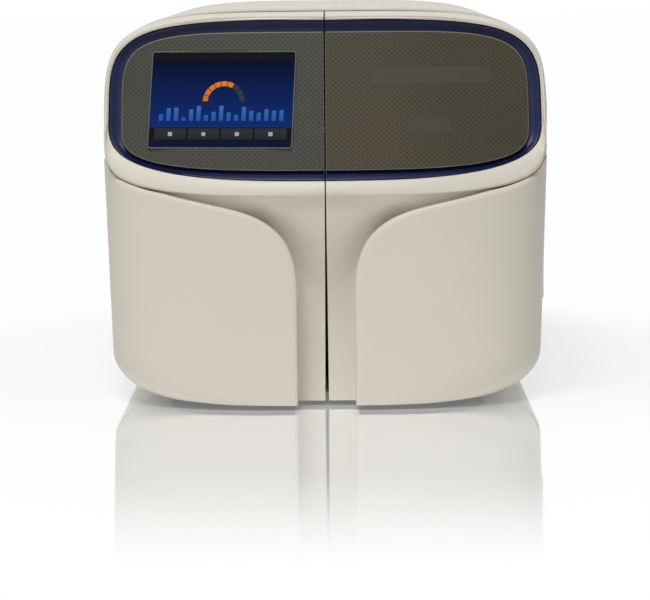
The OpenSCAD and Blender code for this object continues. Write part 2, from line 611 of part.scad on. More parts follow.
// Rocker: a shallow V on two trunnions that run in the inlet's side walls
rocker_y = back_y - 2;
rocker_z = inlet_z + 13.5;
rocker_r = 1.2;
rocker_side = [[-8.2, -3], [-8.2, 4.2], [0, 2.2], [8.2, 1.2], [8.2, -3]];
module trunnion_bar(r, w) translate([inlet_x - w / 2, rocker_y, rocker_z]) rotate([0, 90, 0]) cylinder(r = r, h = w);
module mains_switch() color("dimgray") {
    translate([inlet_x - 6.4, rocker_y, rocker_z]) rotate([0, 90, 0]) linear_extrude(12.8) polygon(rocker_side);
    trunnion_bar(rocker_r, 16);
}

module port_block() color("silver") difference() {
    union() {
        upright(back_y - 18, 18.1) translate([ports_x, ports_z]) rrect(43, 91, 2.6);
        upright(back_y, 1.4) translate([ports_x, ports_z]) rrect(52, 100, 4);
    }
    for (k = [0:2]) upright(back_y - 14, 20) translate([ports_x, ports_z + 26 - k * 20]) square([16, 13.5], center = true);
    for (k = [0, 1]) upright(back_y - 12, 20) translate([ports_x, ports_z - 30 - k * 9]) square([14, 6], center = true);
}

// ---- electronics and fluidics --------------------------------------------

module power_supply() color("silver") difference() {
    translate([-170, 112, pan_z + 2]) cube([82, 190, 110]);
    for (k = [0:7]) translate([-172, 128 + k * 21, pan_z + 22]) cube([4, 8, 70]);
}

tray_z = 224;
tray_legs = [[-184, -170], [-184, 262], [-30, -170], [-30, 270]];
module board_tray() color("gainsboro") {
    for (p = tray_legs) translate([p[0], p[1], pan_z + 2]) cube([8, 8, tray_z - pan_z - 1.9]);
    translate([-230, -180, tray_z]) cube([236, 470, 2]);
    for (x = [-230, 4]) translate([x, -180, tray_z]) cube([2, 470, 14]);
}
module main_board() color("darkgreen") {
    translate([-218, -150, tray_z + 8]) cube([210, 400, 1.8]);
    for (x = [-210, -16], y = [-142, 40, 242]) translate([x, y, tray_z + 2]) cylinder(r = 3.5, h = 6, $fn = 24);
}
module heat_sink() color("silver") translate([-170, -60, tray_z + 9.8]) {
    cube([110, 110, 8]);
    for (k = [0:13]) translate([1 + k * 8, 0, 7.9]) cube([2, 110, 34]);
}

module valve_manifold() color("lightgray") {
    translate([40, bay_y1, shelf_z - 40]) cube([150, 52, 60]);
    for (k = [0:4]) translate([56 + k * 29, bay_y1 + 30, shelf_z + 19.9]) cylinder(r = 11, h = 38, $fn = 48);
}

// ---- mirrored and coloured pieces -----------------------------------------

module left_visor_rim() color("ivory") mirror([1, 0, 0]) visor_rim();
module door_visor_rim() color("ivory") visor_rim();
module left_bezel_ring() color("navy") mirror([1, 0, 0]) bezel_ring();
module door_bezel_ring() color("navy") bezel_ring();
module door_fascia() color("dimgray") fascia_half();
module left_wing() color("beige") mirror([1, 0, 0]) wing();
module door_wing() color("beige") wing();
module left_centre_panel() color("beige") mirror([1, 0, 0]) centre_panel();
module door_centre_panel() color("beige") centre_panel();

left_visor_rim();
left_bezel_ring();
left_fascia();
screen_frame();
touch_screen();
display_module();
left_wing();
left_centre_panel();
left_inner_frame();
door_visor_rim();
door_bezel_ring();
door_fascia();
door_wing();
door_centre_panel();
door_liner();
door_hinge_leaves();
door_strike_plates();
front_bulkhead();
hinge_brackets();
hinge_pins();
catch_magnets();
main_cover();
base_pan();
rear_panel();
feet();
bay_liner();
bay_shelf();
clamp_base();
chip_socket();
flow_chip();
clamp_lid();
clamp_pin();
clamp_pad();
reagent_cartridge();
cartridge_dock();
wash_bottle();
wash_cap();
waste_bottle();
waste_cap();
left_fan_frame();
right_fan_frame();
left_fan_rotor();
right_fan_rotor();
fan_guards();
power_inlet();
mains_switch();
port_block();
power_supply();
main_board();
heat_sink();
valve_manifold();
board_tray();
cover_screws();
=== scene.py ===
"""Looks of the benchtop sequencer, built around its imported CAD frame.

Shapes are worked out in millimetres, with x to the right, y to the back and z up from the bench.
The front is drawn for the right half, as outline points (x, z) with a depth behind the front plane.
The left half is its mirror image.
"""
import json
import math
from typing import NamedTuple

import bmesh
import bpy
import numpy as np
from mathutils import Euler, Matrix, Vector


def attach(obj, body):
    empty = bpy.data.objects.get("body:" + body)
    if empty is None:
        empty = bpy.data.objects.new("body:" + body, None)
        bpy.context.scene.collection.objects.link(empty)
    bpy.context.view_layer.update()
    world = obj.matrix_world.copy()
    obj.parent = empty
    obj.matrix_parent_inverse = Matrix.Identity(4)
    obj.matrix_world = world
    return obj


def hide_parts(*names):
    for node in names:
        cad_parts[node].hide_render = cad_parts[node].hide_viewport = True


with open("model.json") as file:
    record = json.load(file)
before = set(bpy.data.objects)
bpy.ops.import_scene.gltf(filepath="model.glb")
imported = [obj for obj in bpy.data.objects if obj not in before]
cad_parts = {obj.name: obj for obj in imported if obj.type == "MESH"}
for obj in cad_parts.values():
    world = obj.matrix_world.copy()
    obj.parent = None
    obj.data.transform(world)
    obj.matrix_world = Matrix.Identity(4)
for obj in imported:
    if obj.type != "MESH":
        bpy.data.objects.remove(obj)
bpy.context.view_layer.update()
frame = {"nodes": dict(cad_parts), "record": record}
NODES = frame["nodes"]


# ---- measures, named as in the CAD source; some curves are a little fuller here ----
class Lens(NamedTuple):
    """Half of a lens outline: an upper and a lower curve that meet at mid_z."""

    reach: float
    mid_z: float
    rise: float
    rise_power: float
    fall: float
    fall_power: float

    def inset(self, by):
        return self._replace(reach=self.reach - by, rise=self.rise - by, fall=self.fall - by)


BODY_W, BODY_D, BODY_H = 541.0, 762.0, 467.0
FRONT_Y = -BODY_D / 2
FRONT_D, FRONT_W = 149.0, 266.5
PLAN_POWER = 3.8
SKIN = 4.0
COVER_D, LINER_D, PAN_TOP = 164.0, 118.0, 12.0
WIDEST_Z = 300.0

# The front's surface: how it leans back, how it bows in plan and how wide its seam is.
LEAN, BOW_R = 0.38, 900.0
LEAN_ANGLE = math.atan(LEAN)
SEAM_TOP, SEAM_SPREAD = 0.75, 1.45

# The visor's outlines, from the outside in, and the cover's outline behind them.
CREST = Lens(262.5, 338.0, 121.5, 4.1, 86.0, 4.6)
RING = Lens(257.0, 337.0, 118.0, 4.4, 68.2, 3.1)
PLATE = Lens(242.0, 335.0, 106.0, 5.2, 54.7, 3.8)
BACK = Lens(FRONT_W, 338.0, 125.0, 4.15, 86.0, 4.6)
COVER = Lens(BODY_W / 2, WIDEST_Z, BODY_H - WIDEST_Z, 4.25, 0.0, 1.0)
CREST_Z = CREST.mid_z - CREST.fall
CREST_TOP = CREST.mid_z + CREST.rise

# The body's sides: a slight flare above round lower corners, and a bowed bottom edge.
CORNER_X, CORNER_Z, CORNER_RX, CORNER_RZ = 180.0, 60.0, 75.5, 53.0
FLARE, WIDEST_X = 0.0298, 262.65
COVER_STEP = COVER.reach - WIDEST_X
BOTTOM_Z, BOTTOM_BOW = 5.6, 21600.0

# The wings: a free edge that stands beside the scoop, sweeps over and runs out below the visor.
WING_X, WING_Z, WING_TOP = 34.0, 130.0, 290.0
SWEEP_X, SWEEP_RISE, SWEEP_POWER, SWEEP_SLOPE = 130.0, 89.9, 3, 0.22
LIFT_X, LIFT = 215.0, 0.0082
VISOR_GAP, VISOR_GAP_MORE, GAP_X, GAP_RUN = 1.9, 1.6, 240.0, 10.0
LIP, LIP_BAND, LIP_SLOPE, LIP_SOFT = 2.4, 4.8, 0.16, 0.2
FLANGE_IN, FLANGE_BACK = 9.0, 6.0

# The scoop between the wings: its floor and how far below the visor it is reached.
SCOOP_D, SCOOP_LIP = 44.0, 9.4
REACH, REACH_SEAM, SEAM_RUN = 24.0, 96.0, 70.0
REACH_OUT, OUT_X, OUT_RUN = 48.0, 75.0, 45.0
TOE_Z, TOE_D = 140.0, 8.0

# The screen, on the left half.
SCREEN_X, SCREEN_Z, SCREEN_W, SCREEN_H = -122.5, 365.2, 169.0, 116.0
PLATE_D, GLASS_D, PANE_BACK_D = 7.0, 9.4, 12.2
OPENING_GAP, OPENING_R = 2.0, 4.0

HALVES = (("left", "cabinet", True), ("door", "door", False))


# ---- outlines and surfaces ------------------------------------------------
def clamp(value):
    """The value, held between 0 and 1."""
    return min(1.0, max(0.0, value))


def eased(value):
    """The value, held between 0 and 1 and eased at both ends."""
    k = clamp(value)
    return k * k * (3 - 2 * k)


def lens_pt(lens, turn):
    """Outline point, with turn from 0 degrees at the top to 180 at the bottom."""
    across = max(0.0, math.sin(math.radians(turn)))
    along = math.cos(math.radians(turn))
    if turn <= 90:
        power = 2 / lens.rise_power
        return np.array([lens.reach * across ** power, lens.mid_z + lens.rise * max(0.0, along) ** power])
    power = 2 / lens.fall_power
    return np.array([lens.reach * across ** power, lens.mid_z - lens.fall * max(0.0, -along) ** power])


def lens_curve(lens, x, power):
    """Share of its full height that an outline's curve has at x."""
    return max(0.0, 1 - min(1.0, x / lens.reach) ** power) ** (1 / power)


def lens_low(lens, x):
    """Height of an outline's lower curve at x."""
    return lens.mid_z - lens.fall * lens_curve(lens, x, lens.fall_power)


def lens_high(lens, x):
    """Height of an outline's upper curve at x."""
    return lens.mid_z + lens.rise * lens_curve(lens, x, lens.rise_power)


def half_w(z):
    """Half the body's width at a height, inside the wings' skin."""
    if z >= CORNER_Z:
        return CORNER_X + CORNER_RX + (z - CORNER_Z) * FLARE
    return CORNER_X + CORNER_RX * math.sqrt(max(0.0, 1 - ((CORNER_Z - z) / CORNER_RZ) ** 2))


def bottom_z(x):
    """Height of the front's bottom edge, which rises a little towards the sides."""
    return BOTTOM_Z + x * x / BOTTOM_BOW


def cover_pt(turn):
    """Point of the cover's outline: top curve to 90 degrees, side to 130, round corner to 180."""
    side_end, corner_sweep = 130, 86
    if turn <= 90:
        return lens_pt(COVER, turn)
    if turn <= side_end:
        z = WIDEST_Z - (turn - 90) * (WIDEST_Z - CORNER_Z) / (side_end - 90)
        return np.array([half_w(z) + COVER_STEP, z])
    angle = math.radians((turn - side_end) * corner_sweep / (180 - side_end))
    x = CORNER_X + (CORNER_RX + COVER_STEP) * math.cos(angle)
    return np.array([x, CORNER_Z - CORNER_RZ * math.sin(angle)])


def face_d(x, z):
    """Depth of the visor's leaning, bowed face."""
    return LEAN * (z - CREST_Z) + x * x / (2 * BOW_R)


def plan_pt(turn, width):
    """The body's front corner in plan: x and depth, with turn 0 at the front and 90 at the side."""
    s, c = math.sin(math.radians(turn)), math.cos(math.radians(turn))
    r = ((s / width) ** PLAN_POWER + (max(1e-9, c) / FRONT_D) ** PLAN_POWER) ** (-1 / PLAN_POWER)
    return r * s, FRONT_D - r * c


def plan_d(x, width):
    """Depth of the same corner at x."""
    return FRONT_D * (1 - max(0.0, 1 - min(1.0, x / width) ** PLAN_POWER) ** (1 / PLAN_POWER))


def sweep_x(turn):
    """Where the wing's edge has turned through an angle on its way over from upright."""
    return SWEEP_X - (SWEEP_X - WING_X) * math.cos(math.radians(turn)) ** (2 / SWEEP_POWER)


def sweep_z(x):
    """Height of the wing's edge where it sweeps over and runs outwards."""
    near = max(0.0, SWEEP_X - x) / (SWEEP_X - WING_X)
    over = max(0.0, 1 - near ** SWEEP_POWER) ** (1 / SWEEP_POWER)
    return WING_Z + SWEEP_SLOPE * (x - WING_X) + SWEEP_RISE * over + LIFT * max(0.0, x - LIFT_X) ** 2


def wing_top_z(x):
    """Height of the wing's free edge, which stays clear of the visor."""
    gap = VISOR_GAP + VISOR_GAP_MORE * clamp((x - GAP_X) / GAP_RUN)
    return min(WING_TOP, sweep_z(x), lens_low(CREST, x) - gap)


def scoop_at(x, z):
    """Depth of the scoop: it falls in from the visor's lip and runs down to the toe."""
    top = lens_low(CREST, x)
    lip = face_d(x, top) + SCOOP_LIP
    floor_d = SCOOP_D + x * x / (2 * BOW_R)
    reach = REACH + REACH_SEAM * math.exp(-(x / SEAM_RUN) ** 2) + REACH_OUT * eased((x - OUT_X) / OUT_RUN)
    return lip + (floor_d - lip) * eased((top - z) / reach) - TOE_D * clamp(1 - z / TOE_Z) ** 2


def seam_half(z):
    """Half the gap between the two front halves: narrow at the visor, wider at the foot."""
    return SEAM_TOP + SEAM_SPREAD * max(0.0, 1 - z / CREST_Z)


def place(row):
    """Points in space for [(outline point, depth), ...], held back from the seam."""
    return [(max(seam_half(p[1]), p[0]), FRONT_Y + depth, p[1]) for p, depth in row]


def on_screen(u, v, depth):
    """A point of the screen's own plane: u to the right, v up the lean."""
    point = Vector((u, depth, v))
    point.rotate(Euler((-LEAN_ANGLE, 0, 0)))
    point.rotate(Euler((0, 0, math.asin(SCREEN_X / BOW_R))))
    return (point.x + SCREEN_X, point.y + FRONT_Y + face_d(SCREEN_X, SCREEN_Z), point.z + SCREEN_Z)


# ---- mesh helpers ---------------------------------------------------------
def new_object(name, verts, faces, crease=None):
    """A mesh object from points in metres; edges that turn more than crease degrees stay hard."""
    mesh = bpy.data.meshes.new(name)
    mesh.from_pydata(verts, [], faces)
    work = bmesh.new()
    work.from_mesh(mesh)
    bmesh.ops.remove_doubles(work, verts=work.verts, dist=1e-6)
    bmesh.ops.recalc_face_normals(work, faces=work.faces)
    if crease:
        for edge in work.edges:
            if len(edge.link_faces) == 2 and edge.calc_face_angle(0) > math.radians(crease):
                edge.smooth = False
    work.to_mesh(mesh)
    work.free()
    ob = bpy.data.objects.new(name, mesh)
    bpy.context.collection.objects.link(ob)
    return ob


def add_piece(name, shape, body, mat, node=None, mirror=False, sharp=40, bevel=0.0):
    """A piece from a shape's points and faces, riding on a body and standing for a CAD node."""
    verts, faces = shape
    points = np.array(verts, float) / 1000
    if mirror:
        points[:, 0] *= -1
    ob = new_object(name, points.tolist(), faces, None if bevel else sharp)
    ob.data.polygons.foreach_set("use_smooth", [True] * len(ob.data.polygons))
    ob.data.materials.append(mat)
    if bevel:
        rounding = ob.modifiers.new("edge", "BEVEL")
        rounding.width = bevel / 1000
        rounding.segments = 3
        rounding.limit_method = "ANGLE"
        rounding.angle_limit = math.radians(50)
        rounding.use_clamp_overlap = True
        ob.modifiers.new("weight", "WEIGHTED_NORMAL").keep_sharp = True
    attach(ob, body)
    if node:
        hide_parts(node)
    return ob


def grid_normals(grid):
    """Unit normals at the points of a surface grid."""
    along = np.concatenate([grid[1:], grid[-1:]]) - np.concatenate([grid[:1], grid[:-1]])
    across = np.concatenate([grid[:, 1:], grid[:, -1:]], 1) - np.concatenate([grid[:, :1], grid[:, :-1]], 1)
    normals = np.cross(along, across)
    return normals / np.maximum(1e-9, np.linalg.norm(normals, axis=2, keepdims=True))


def skin_mesh(rows, thick, side):
    """The closed skin behind rows of surface points; thick is one value or one for each row."""
    grid = np.array(rows, float)
    count, cols = grid.shape[:2]
    depth = np.full(count, thick, float) if np.isscalar(thick) else np.array(thick, float)
    inner = grid + side * depth[:, None, None] * grid_normals(grid)
    base = count * cols
    faces = []
    for i in range(count - 1):
        for j in range(cols - 1):
            a = i * cols + j
            faces.append((a, a + 1, a + cols + 1, a + cols))
            faces.append((base + a + cols, base + a + cols + 1, base + a + 1, base + a))
    for i in range(count - 1):
        a = i * cols
        b = a + cols - 1
        faces.append((base + a, a, a + cols, base + a + cols))
        faces.append((b, base + b, base + b + cols, b + cols))
    for j in range(cols - 1):
        a = (count - 1) * cols + j
        faces.append((j, base + j, base + j + 1, j + 1))
        faces.append((base + a, a, a + 1, base + a + 1))
    return np.concatenate([grid.reshape(-1, 3), inner.reshape(-1, 3)]), faces


def loft(loops, caps=False):
    """The wall through closed loops of equal length, with flat ends where caps is set."""
    count = len(loops[0])
    verts = [point for loop in loops for point in loop]
    faces = []
    for a in range(0, len(verts) - count, count):
        for i in range(count):
            after = (i + 1) % count
            faces.append((a + i, a + after, a + count + after, a + count + i))
    if caps:
        faces.append(tuple(range(count))[::-1])
        faces.append(tuple(range(len(verts) - count, len(verts))))
    return verts, faces


def spread(knots, count):
    """Numbers that run through the knots, closer where the knots are closer."""
    return np.interp(np.linspace(0, len(knots) - 1, count), range(len(knots)), knots)


def smooth_profile(points, count):
    """Evenly spaced points along the line through profile points [(a, b), ...]."""
    line = np.array(points, float)
    run = np.concatenate([[0], np.cumsum(np.linalg.norm(np.diff(line, axis=0), axis=1))])
    steps = np.linspace(0, run[-1], count)
    return np.stack([np.interp(steps, run, line[:, axis]) for axis in (0, 1)], 1)


def rounded(width, height, radius, steps=8):
    """A rectangle round the origin with quarter-circle corners."""
    points = []
    for right, up, start in ((1, 1, 0), (-1, 1, 90), (-1, -1, 180), (1, -1, 270)):
        for step in range(steps + 1):
            angle = math.radians(start + 90 * step / steps)
            points.append((right * (width / 2 - radius) + radius * math.cos(angle),
                           up * (height / 2 - radius) + radius * math.sin(angle)))
    return points


def arc(u, v, inner, outer, start, end, steps=6):
    """A piece of a ring round (u, v), between two radii and two angles in degrees."""
    turns = [math.radians(a) for a in np.linspace(start, end, steps)]
    out = [(u + outer * math.cos(a), v + outer * math.sin(a)) for a in turns]
    return out + [(u + inner * math.cos(a), v + inner * math.sin(a)) for a in reversed(turns)]


def shifted(points, u, v):
    """The same outline, moved by (u, v)."""
    return [(a + u, b + v) for a, b in points]


# ---- shader helpers -------------------------------------------------------
def srgb(*levels):
    """Linear colour for levels of 0 to 255."""
    return tuple(((c / 255 + 0.055) / 1.055) ** 2.4 if c > 10.3 else c / 255 / 12.92 for c in levels)


def feed(tree, node, inputs):
    """Gives each input its value, or links it to the socket that drives it."""
    for key, value in inputs.items():
        if isinstance(value, bpy.types.NodeSocket):
            tree.links.new(value, node.inputs[key])
        else:
            node.inputs[key].default_value = value


def add_node(tree, kind, inputs=None, **settings):
    """A new shader node with its settings and inputs."""
    node = tree.nodes.new("ShaderNode" + kind)
    for key, value in settings.items():
        setattr(node, key, value)
    feed(tree, node, inputs or {})
    return node


def calc(tree, operation, first, second=None):
    """Result of a sum on one or two sockets or numbers."""
    inputs = {0: first} if second is None else {0: first, 1: second}
    return add_node(tree, "Math", inputs, operation=operation).outputs[0]


def ranged(tree, value, from_min=0.0, from_max=1.0, to_min=0.0, to_max=1.0, kind="LINEAR"):
    """A socket's value, carried from one range over to another."""
    limits = {"From Min": from_min, "From Max": from_max, "To Min": to_min, "To Max": to_max}
    return add_node(tree, "MapRange", {"Value": value, **limits}, interpolation_type=kind).outputs["Result"]


def ramp(tree, value, low, high, start=0.0, end=1.0):
    """Colour that runs from low to high while the value runs from start to end."""
    node = add_node(tree, "ValToRGB", {"Fac": value})
    first, last = node.color_ramp.elements
    first.position, first.color = start, (*low, 1)
    last.position, last.color = end, (*high, 1)
    return node.outputs["Color"]


def noise(tree, coords, scale, detail=2):
    """Soft random pattern with its lumps about 1 / scale metres wide."""
    return add_node(tree, "TexNoise", {"Vector": coords, "Scale": scale, "Detail": detail}).outputs["Fac"]


def new_material(name):
    """A new material, its node tree and its main shader."""
    mat = bpy.data.materials.new(name)
    mat.use_nodes = True
    return mat, mat.node_tree, mat.node_tree.nodes["Principled BSDF"]


# ---- materials ------------------------------------------------------------
def finish_mat(name, colour, rough, grain=900.0, bump=0.04, vary=0.03, metallic=0.0,
               blotch=14.0, rough_vary=0.06, edge=0.0, specular=0.5):
    """A moulded or painted finish: slow colour drift, fine grain in the bump, uneven gloss."""
    mat, tree, shader = new_material(name)
    coords = add_node(tree, "TexCoord").outputs["Object"]
    slow = noise(tree, coords, blotch, 3)
    low = [c * (1 - vary) for c in colour]
    high = [min(1, c * (1 + vary)) for c in colour]
    surface = {"Height": noise(tree, coords, grain), "Strength": bump, "Distance": 0.0004}
    if edge:
        surface["Normal"] = add_node(tree, "Bevel", {"Radius": edge / 1000}, samples=4).outputs["Normal"]
    glossiest, dullest = max(0.02, rough - rough_vary), min(1.0, rough + rough_vary)
    feed(tree, shader, {
        "Base Color": ramp(tree, slow, low, high, 0.3, 0.7),
        "Roughness": ranged(tree, slow, to_min=glossiest, to_max=dullest),
        "Normal": add_node(tree, "Bump", surface).outputs["Normal"],
        "Metallic": metallic,
        "Specular IOR Level": specular,
    })
    return mat


DOT_ACROSS, DOT_UP, DOT_FLAT = 6.6, 5.6, 1.07
DOT_SIZE, FAINT_SIZE, FAINT = (1.5, 0.3), (0.8, 0.1), 0.35


def dot_mat(name, colour, dark):
    """Satin film: a staggered lattice of small dark dots, slightly sunk, with faint ones between."""
    mat, tree, shader = new_material(name)
    coords = add_node(tree, "TexCoord").outputs["Object"]
    axes = add_node(tree, "SeparateXYZ", {0: coords}).outputs
    across = calc(tree, "MULTIPLY", axes["X"], 1000 / DOT_ACROSS)
    up = calc(tree, "MULTIPLY", axes["Z"], 1000 / DOT_UP)

    def off_line(value, shift, pitch):
        """Squared distance in millimetres to the nearest line of the lattice."""
        part = calc(tree, "SUBTRACT", calc(tree, "FRACT", calc(tree, "ADD", value, shift)), 0.5)
        return calc(tree, "POWER", calc(tree, "MULTIPLY", calc(tree, "ABSOLUTE", part), pitch), 2)

    def off_dot(shift_x, shift_z):
        off_x = off_line(across, shift_x, DOT_ACROSS)
        return calc(tree, "ADD", off_x, off_line(up, shift_z, DOT_UP * DOT_FLAT))

    def dots_within(size, *shifts):
        nearest = calc(tree, "MINIMUM", *[off_dot(*shift) for shift in shifts])
        return ranged(tree, nearest, *size, kind="SMOOTHSTEP")

    main = dots_within(DOT_SIZE, (0.0, 0.0), (0.5, 0.5))
    between = dots_within(FAINT_SIZE, (0.5, 0.0), (0.0, 0.5))
    dots = calc(tree, "MAXIMUM", main, calc(tree, "MULTIPLY", between, FAINT))
    drift = ramp(tree, noise(tree, coords, 5), [c * 0.9 for c in colour], [c * 1.1 for c in colour], 0.3, 0.7)
    mixed = add_node(tree, "Mix", {"Factor": dots, "A": drift, "B": (*dark, 1)}, data_type="RGBA")
    dent = add_node(tree, "Bump", {"Height": dots, "Strength": 0.3, "Distance": 0.0003}, invert=True)
    feed(tree, shader, {
        "Base Color": mixed.outputs["Result"],
        "Normal": dent.outputs["Normal"],
        "Roughness": ranged(tree, dots, to_min=0.42, to_max=0.6),
        "Specular IOR Level": 0.15,
    })
    return mat


def glow_mat(name, colour, low=None, foot=0.0, top=1.0):
    """A lit part of the display; runs from low at a height of foot to colour at top, in metres."""
    mat, tree, shader = new_material(name)
    coords = add_node(tree, "TexCoord").outputs["Object"]
    height = add_node(tree, "SeparateXYZ", {0: coords}).outputs["Z"]
    low = low or [c * 0.85 for c in colour]
    feed(tree, shader, {
        "Emission Color": ramp(tree, ranged(tree, height, foot, top), low, colour),
        "Emission Strength": 1.0,
        "Base Color": (0.0004, 0.0005, 0.0008, 1),
        "Roughness": 0.1,
        "Specular IOR Level": 0.02,
    })
    return mat


# Both halves' film plates are one olive film. The left copy, dots included, is greyer than the right: painted
# reflection of bluish-grey surroundings over the film's own olive.
FASCIA_LEFT_PAINTED_REFLECTION = dot_mat("fascia_olive_left_painted_reflection", srgb(70, 70, 64), srgb(34, 35, 34))
FASCIA_RIGHT = dot_mat("fascia_olive_right", srgb(73, 68, 54), srgb(36, 33, 26))
# The film's chamfered edge is coloured much lighter than the film, all round: a painted highlight.
FASCIA_EDGE_PAINTED_HIGHLIGHT = finish_mat("fascia_edge_painted_highlight", srgb(112, 111, 98), 0.4, vary=0.05, specular=0.2)
FASCIA_PATCH = finish_mat("fascia_patch", srgb(68, 65, 54), 0.4, grain=400, bump=0.01, vary=0.05,
                          specular=0.2)
FRAME_LIGHT = finish_mat("frame_light", srgb(104, 104, 98), 0.35, vary=0.04, specular=0.2)

SLOTS = {"fascia_olive": FASCIA_RIGHT}


def slot_mat(slot, colour, rough, **rest):
    """The finish of one of the CAD record's material slots."""
    SLOTS[slot] = finish_mat(slot, colour, rough, **rest)


PAINT = {"grain": 1400, "bump": 0.03, "vary": 0.012, "blotch": 6, "specular": 0.25}
slot_mat("cream_paint", srgb(212, 207, 193), 0.42, **PAINT)
slot_mat("cream_cover", srgb(211, 205, 192), 0.45, **PAINT)
slot_mat("navy_gloss", srgb(14, 24, 64), 0.34, grain=300, bump=0.005, vary=0.08, rough_vary=0.03,
         specular=0.22)
slot_mat("frame_grey", srgb(150, 150, 142), 0.3, vary=0.04, edge=0.5)
slot_mat("screen_glass", srgb(6, 8, 14), 0.12, grain=200, bump=0.002, vary=0.2, rough_vary=0.02,
         specular=0.12)
slot_mat("display_metal", (0.55, 0.55, 0.57), 0.35, metallic=1.0, vary=0.08, edge=0.5)
slot_mat("liner_white", srgb(222, 220, 212), 0.5, grain=700, bump=0.08, vary=0.02, edge=0.8)
slot_mat("dark_plastic", srgb(44, 44, 46), 0.5, grain=800, bump=0.12, vary=0.12, edge=0.6)
slot_mat("sheet_metal", srgb(196, 195, 188), 0.48, grain=600, bump=0.1, edge=0.6)
slot_mat("steel", (0.5, 0.5, 0.52), 0.3, metallic=1.0, grain=500, bump=0.05, vary=0.1, edge=0.4)
slot_mat("zinc", (0.55, 0.55, 0.55), 0.38, metallic=1.0, grain=160, bump=0.06, vary=0.12, edge=0.4)
slot_mat("foot_rubber", srgb(34, 34, 34), 0.75, grain=500, bump=0.2, vary=0.15)
slot_mat("anodised", srgb(84, 86, 92), 0.36, metallic=0.85, grain=1200, bump=0.1, vary=0.06, edge=0.5)
slot_mat("chip_gold", (0.72, 0.46, 0.16), 0.26, metallic=1.0, vary=0.08, edge=0.3)
slot_mat("bottle_white", srgb(226, 228, 228), 0.42, grain=90, bump=0.05)
slot_mat("cap_blue", srgb(30, 82, 170), 0.34, vary=0.08, edge=0.4)
slot_mat("cap_orange", srgb(226, 112, 36), 0.34, vary=0.08, edge=0.4)
slot_mat("cartridge_blue", srgb(96, 132, 170), 0.34, vary=0.05, edge=0.6)
slot_mat("board_green", srgb(22, 84, 44), 0.35, grain=250, bump=0.2, vary=0.2, edge=0.3)

for part in frame["record"]["subparts"]:
    solid = NODES[part["node"]]
    solid.data.materials.clear()
    solid.data.materials.append(SLOTS[part["material_slot"]])

# ---- visor: rims and bezels -----------------------------------------------
# Turns round a lens outline, closer where it curves most.
LENS_TURNS = [0, 2, 5, 9, 14, 20, 27, 34, 42, 50, 58, 66, 73, 79, 84, 88,
              91, 94, 98, 103, 109, 115, 122, 129, 137, 145, 153, 160, 166, 171, 175, 178, 180]
RIM_THICK, RIM_SHARE, BEZEL_THICK = 2.6, 0.42, 2.0
# Round the lens's lower half the rim's back edge leaves the body and draws in under the crest.
UNDER_FROM, UNDER_RUN, UNDER_DEPTH = 99.0, 11.0, 22.0
# The rounded crest: distance in from its outer line, and depth; and its largest share of the rim.
ROLL_SHARE = 0.75
CREST_ROLL = smooth_profile([(0, 9), (0.25, 6.2), (0.9, 3.4), (2.0, 1.5), (3.6, 0.55), (6.0, 0.15)], 9)
# The rim's inner part: share of the way from crest to ring, and the extra depth there.
RIM_FALL = 5.0
RIM_INNER = ((0.8, 0.0), (0.88, 0.0), (0.95, 0.1), (0.985, 0.5), (1.0, 1.3), (1.0, 8.0))


def rim_row(turn):
    """Across the cream rim: from the body behind it, over the crest and down into the bezel."""
    crest, ring, behind = (lens_pt(lens, turn) for lens in (CREST, RING, BACK))
    under = clamp((turn - UNDER_FROM) / UNDER_RUN)
    face = face_d(*crest)
    back = FRONT_D + (face + UNDER_DEPTH - FRONT_D) * under
    start = behind + (crest - behind) * under
    row = [(start, back)]
    for share in (0.25, 0.45, 0.65, 0.85):
        forward = np.interp(share, (0, 0.45, 1), (0, 0.6, 1))
        row.append((start + (crest - start) * share, back + (face + CREST_ROLL[0][1] - back) * forward))
    span = max(0.5, np.linalg.norm(crest - ring))
    for inward, depth in CREST_ROLL:
        row.append((crest + (ring - crest) * min(ROLL_SHARE, inward / span), face + depth))
    for share, extra in RIM_INNER:
        point = crest + (ring - crest) * share
        row.append((point, face_d(*point) + RIM_FALL * share + extra))
    return place(row)


def bezel_row(turn):
    """Across the navy bezel: a rounded lip, then a slope down to below the plate."""
    ring, plate = lens_pt(RING, turn), lens_pt(PLATE, turn)
    width = np.linalg.norm(plate - ring)
    inward = (plate - ring) / max(1e-9, width)
    row = []
    for way, depth in ((1.0, 10.5), (1.0, 7.4), (1.3, 6.6), (2.2, 6.4), (0.28 * width, 7.4),
                       (0.5 * width, 10.4), (0.74 * width, 12.2), (width - 0.6, 13.0), (width + 4, 14.0)):
        point = ring + inward * way
        row.append((point, face_d(*point) + depth))
    return place(row)


def rim_thickness(turn):
    """The rim's skin, thinner where the rim itself is narrow."""
    return min(RIM_THICK, RIM_SHARE * np.linalg.norm(lens_pt(CREST, turn) - lens_pt(RING, turn)))


def visor():
    """The cream rim and navy bezel of both halves."""
    turns = spread(LENS_TURNS, 161)
    rim = skin_mesh([rim_row(t) for t in turns], [rim_thickness(t) for t in turns], 1)
    bezel = skin_mesh([bezel_row(t) for t in turns], BEZEL_THICK, 1)
    cream, navy = SLOTS["cream_paint"], SLOTS["navy_gloss"]
    for half, body, mirror in HALVES:
        add_piece(half + "_rim", rim, body, cream, half + "_visor_rim", mirror, 60)
        add_piece(half + "_bezel", bezel, body, navy, half + "_bezel_ring", mirror, 60)


# ---- fascias: the film plates and the bare label places -------------------
FILM = 0.8
# The plate's edge, from back to front: how far inside the outline, and how deep.
PLATE_EDGE = ((0.4, 11.0), (0.4, 7.9), (0.75, 7.35), (1.5, PLATE_D))
EDGE_AT_SEAM = 0.6
# The door's bare label places: centre and size.
LABEL_PROUD, LABEL_THICK = 0.15, 0.6
LABEL_PLACES = {"upper": (125.7, 388.3, 139.8, 19.6), "lower": (123.5, 330.6, 50.0, 17.0)}


